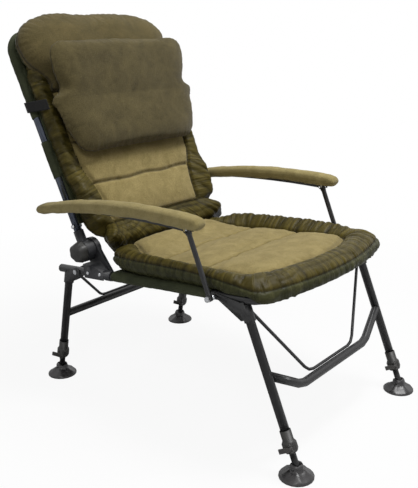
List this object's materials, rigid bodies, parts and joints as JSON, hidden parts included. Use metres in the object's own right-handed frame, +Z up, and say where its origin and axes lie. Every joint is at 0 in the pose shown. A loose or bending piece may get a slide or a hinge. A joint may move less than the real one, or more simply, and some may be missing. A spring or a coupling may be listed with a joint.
{
  "type": "folding carp fishing chair",
  "caption": "Reclining folding fishing chair with padded seat and back, strapped head pillow, padded arms and telescopic legs with swivelling mud feet.",
  "frame": {"origin": "centre of the bounding box on the ground under the feet", "axes": "+Z up; the sitter faces -Y; +X to the sitter's left"},
  "size_m": [0.633, 1.0072, 1.0273],
  "materials": {
    "frame": "dark grey semi-gloss powder coat",
    "bracket": "satin black moulding",
    "plastic": "satin dark grey moulding",
    "feet": "satin black moulding",
    "levers": "satin dark grey moulding",
    "bolts": "bright zinc plated",
    "sling": "dark olive woven polyester",
    "fleece": "brushed olive fleece with darker satin borders",
    "pillow": "brushed dark olive fleece",
    "arm_cover": "brushed light olive fleece",
    "strap": "black woven elastic"
  },
  "bodies": {
    "seat": {"seat_frame": "frame", "seat_sling": "sling", "seat_mattress": "fleece", "rear_end_cap_left": "plastic", "rear_end_cap_right": "plastic", "hinge_plate_left": "bracket", "hinge_plate_right": "bracket", "recline_stud_left": "bolts", "recline_stud_right": "bolts", "rear_leg_bolt_left": "bolts", "rear_leg_bolt_right": "bolts", "front_leg_bolt_left": "bolts", "front_leg_bolt_right": "bolts"},
    "back": {"back_frame": "frame", "back_sling": "sling", "back_mattress": "fleece", "back_socket_left": "bracket", "back_socket_right": "bracket", "post_bolt_left": "bolts", "post_bolt_right": "bolts", "arm_bolt_left": "bolts", "arm_bolt_right": "bolts"},
    "headrest": {"head_pillow": "pillow", "pillow_strap": "strap"},
    "arm_left": {"arm_channel_left": "frame", "arm_pad_left": "arm_cover"},
    "strut_left": {"arm_strut_left": "frame", "strut_bolt_left": "bolts"},
    "knob_left": {"recline_knob_left": "plastic"},
    "arm_right": {"arm_channel_right": "frame", "arm_pad_right": "arm_cover"},
    "strut_right": {"arm_strut_right": "frame", "strut_bolt_right": "bolts"},
    "knob_right": {"recline_knob_right": "plastic"},
    "front_legs": {"front_leg_left": "frame", "front_leg_right": "frame", "front_collar_left": "plastic", "front_collar_right": "plastic", "front_crossbar": "frame", "front_brace_rod": "frame"},
    "front_extension_left": {"front_inner_leg_left": "frame"},
    "front_foot_left": {"front_foot_left": "feet"},
    "front_lever_left": {"front_lock_left": "levers"},
    "front_extension_right": {"front_inner_leg_right": "frame"},
    "front_foot_right": {"front_foot_right": "feet"},
    "front_lever_right": {"front_lock_right": "levers"},
    "rear_legs": {"rear_leg_left": "frame", "rear_leg_right": "frame", "rear_collar_left": "plastic", "rear_collar_right": "plastic", "rear_crossbar": "frame", "rear_brace_rod": "frame"},
    "rear_extension_left": {"rear_inner_leg_left": "frame"},
    "rear_foot_left": {"rear_foot_left": "feet"},
    "rear_lever_left": {"rear_lock_left": "levers"},
    "rear_extension_right": {"rear_inner_leg_right": "frame"},
    "rear_foot_right": {"rear_foot_right": "feet"},
    "rear_lever_right": {"rear_lock_right": "levers"}
  },
  "joints": [
    {"name": "recline", "type": "hinge", "parent": "seat", "child": "back", "pos_m": [0, 0.22089, 0.40758], "axis": [-1, 0, 0], "range_deg": [-12, 32]},
    {"name": "headrest_height", "type": "slide", "parent": "back", "child": "headrest", "axis": [0, 0.4384, 0.8988], "range_m": [-0.06, 0]},
    {"name": "arm_left_pivot", "type": "hinge", "parent": "back", "child": "arm_left", "pos_m": [0.294, 0.27919, 0.52712], "axis": [-1, 0, 0], "range_deg": [-31, 12]},
    {"name": "strut_left_pivot", "type": "hinge", "parent": "seat", "child": "strut_left", "pos_m": [0.294, -0.23873, 0.38728], "axis": [-1, 0, 0], "range_deg": [-9, 24]},
    {"name": "knob_left_turn", "type": "hinge", "parent": "seat", "child": "knob_left", "pos_m": [0.288, 0.22089, 0.40758], "axis": [1, 0, 0], "range_deg": [-180, 180]},
    {"name": "arm_right_pivot", "type": "hinge", "parent": "back", "child": "arm_right", "pos_m": [-0.294, 0.27919, 0.52712], "axis": [-1, 0, 0], "range_deg": [-31, 12]},
    {"name": "strut_right_pivot", "type": "hinge", "parent": "seat", "child": "strut_right", "pos_m": [-0.294, -0.23873, 0.38728], "axis": [-1, 0, 0], "range_deg": [-9, 24]},
    {"name": "knob_right_turn", "type": "hinge", "parent": "seat", "child": "knob_right", "pos_m": [-0.288, 0.22089, 0.40758], "axis": [-1, 0, 0], "range_deg": [-180, 180]},
    {"name": "front_legs_fold", "type": "hinge", "parent": "seat", "child": "front_legs", "pos_m": [0, -0.23873, 0.38728], "axis": [1, 0, 0], "range_deg": [0, 84]},
    {"name": "front_leg_left_length", "type": "slide", "parent": "front_legs", "child": "front_extension_left", "axis": [0, 0.3827, 0.9239], "range_m": [-0.1, 0]},
    {"name": "front_foot_left_tilt", "type": "hinge", "parent": "front_extension_left", "child": "front_foot_left", "pos_m": [0.262, -0.46239, 0.025], "axis": [1, 0, 0], "range_deg": [-20, 20]},
    {"name": "front_lock_left_lever", "type": "hinge", "parent": "front_legs", "child": "front_lever_left", "pos_m": [0.24427, -0.45652, 0.07539], "axis": [0, 0.3827, 0.9239], "range_deg": [0, 110]},
    {"name": "front_leg_right_length", "type": "slide", "parent": "front_legs", "child": "front_extension_right", "axis": [0, 0.3827, 0.9239], "range_m": [-0.1, 0]},
    {"name": "front_foot_right_tilt", "type": "hinge", "parent": "front_extension_right", "child": "front_foot_right", "pos_m": [-0.262, -0.46239, 0.025], "axis": [1, 0, 0], "range_deg": [-20, 20]},
    {"name": "front_lock_right_lever", "type": "hinge", "parent": "front_legs", "child": "front_lever_right", "pos_m": [-0.27973, -0.45652, 0.07539], "axis": [0, 0.3827, 0.9239], "range_deg": [0, 110]},
    {"name": "rear_legs_fold", "type": "hinge", "parent": "seat", "child": "rear_legs", "pos_m": [0, 0.25133, 0.34363], "axis": [-1, 0, 0], "range_deg": [0, 102]},
    {"name": "rear_leg_left_length", "type": "slide", "parent": "rear_legs", "child": "rear_extension_left", "axis": [0, -0.2113, 0.9774], "range_m": [-0.1, 0]},
    {"name": "rear_foot_left_tilt", "type": "hinge", "parent": "rear_extension_left", "child": "rear_foot_left", "pos_m": [0.262, 0.36043, 0.025], "axis": [1, 0, 0], "range_deg": [-20, 20]},
    {"name": "rear_lock_left_lever", "type": "hinge", "parent": "rear_legs", "child": "rear_lever_left", "pos_m": [0.24427, 0.33658, 0.06977], "axis": [0, -0.2113, 0.9774], "range_deg": [0, 110]},
    {"name": "rear_leg_right_length", "type": "slide", "parent": "rear_legs", "child": "rear_extension_right", "axis": [0, -0.2113, 0.9774], "range_m": [-0.1, 0]},
    {"name": "rear_foot_right_tilt", "type": "hinge", "parent": "rear_extension_right", "child": "rear_foot_right", "pos_m": [-0.262, 0.36043, 0.025], "axis": [1, 0, 0], "range_deg": [-20, 20]},
    {"name": "rear_lock_right_lever", "type": "hinge", "parent": "rear_legs", "child": "rear_lever_right", "pos_m": [-0.27973, 0.33658, 0.06977], "axis": [0, -0.2113, 0.9774], "range_deg": [0, 110]}
  ],
  "couplings": [
    {"joint": "arm_left_pivot", "follows": "recline", "ratio": -0.95},
    {"joint": "strut_left_pivot", "follows": "recline", "ratio": 0.725},
    {"joint": "arm_right_pivot", "follows": "recline", "ratio": -0.95},
    {"joint": "strut_right_pivot", "follows": "recline", "ratio": 0.725}
  ]
}
